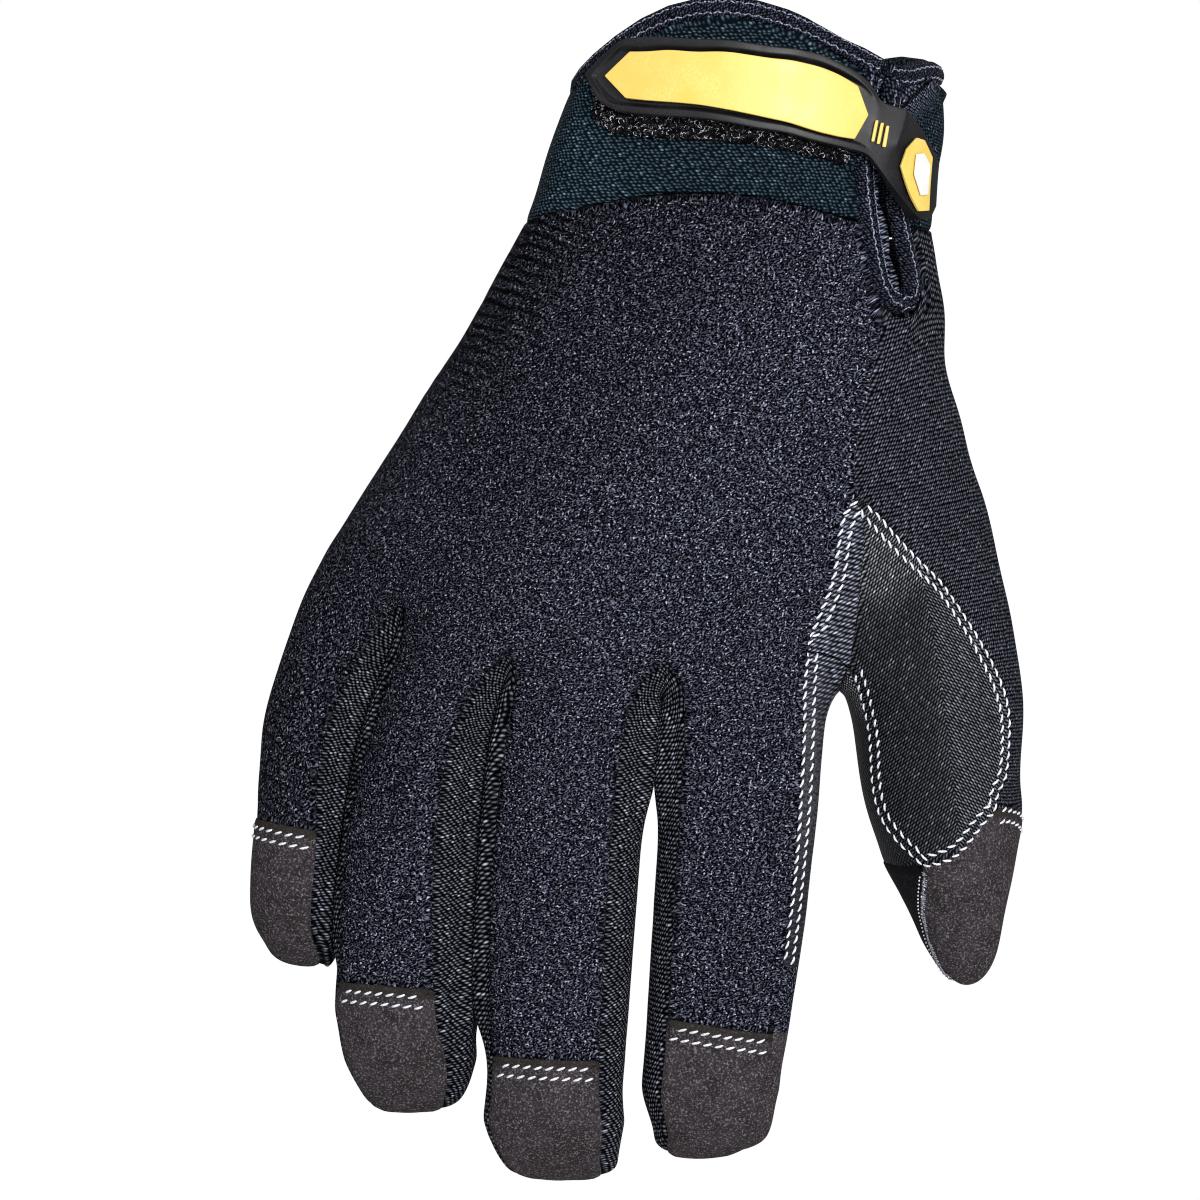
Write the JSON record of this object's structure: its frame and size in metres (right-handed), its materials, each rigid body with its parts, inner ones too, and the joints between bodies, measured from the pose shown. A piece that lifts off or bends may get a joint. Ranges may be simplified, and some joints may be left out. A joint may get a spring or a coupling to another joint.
{
  "type": "winter work glove",
  "caption": "Right-hand insulated work glove with knit back, fingertip caps, bound cuff slit and a moulded wrist strap.",
  "frame": {"origin": "the middle of the wrist opening, where a hand goes in", "axes": "+Z out of the wrist opening, so the fingers point down; -Y out of the back of the hand; +X towards the thumb"},
  "size_m": [0.18, 0.0673, 0.2694],
  "materials": {
    "textured_knit": "matte seed-stitch knit",
    "palm_leather": "matte synthetic leather",
    "twill_stretch": "fine matte twill",
    "suede": "napped synthetic suede",
    "woven_nylon": "coarse woven nylon with a slight gloss",
    "neoprene": "knit-faced neoprene, matte",
    "ribbed_elastic": "fine ribbed elastic",
    "binding_tape": "ribbed stretch tape",
    "loop_fabric": "short loop pile",
    "black_rubber": "moulded, satin",
    "yellow_rubber": "moulded, satin",
    "pale_rubber": "moulded, satin",
    "white_thread": "twisted sewing thread"
  },
  "bodies": {
    "root": {"back_panel": "textured_knit", "palm_panel": "palm_leather", "fourchette_little_ring": "twill_stretch", "fourchette_ring_middle": "twill_stretch", "fourchette_middle_index": "twill_stretch", "tip_cap_little": "suede", "tip_cap_ring": "suede", "tip_cap_middle": "suede", "tip_cap_index": "suede", "thumb_back": "twill_stretch", "thumb_pad": "woven_nylon", "web_patch": "woven_nylon", "thumb_side": "palm_leather", "thumb_tip": "suede", "thumb_tip_side": "suede", "cuff": "neoprene", "slit_gusset": "ribbed_elastic", "cuff_binding": "binding_tape", "slit_binding": "binding_tape", "loop_patch": "loop_fabric", "closure_strap": "black_rubber", "strap_plate": "yellow_rubber", "strap_bar_1": "yellow_rubber", "strap_bar_2": "yellow_rubber", "strap_bar_3": "yellow_rubber", "strap_badge": "yellow_rubber", "strap_badge_face": "pale_rubber"}
  },
  "joints": []
}
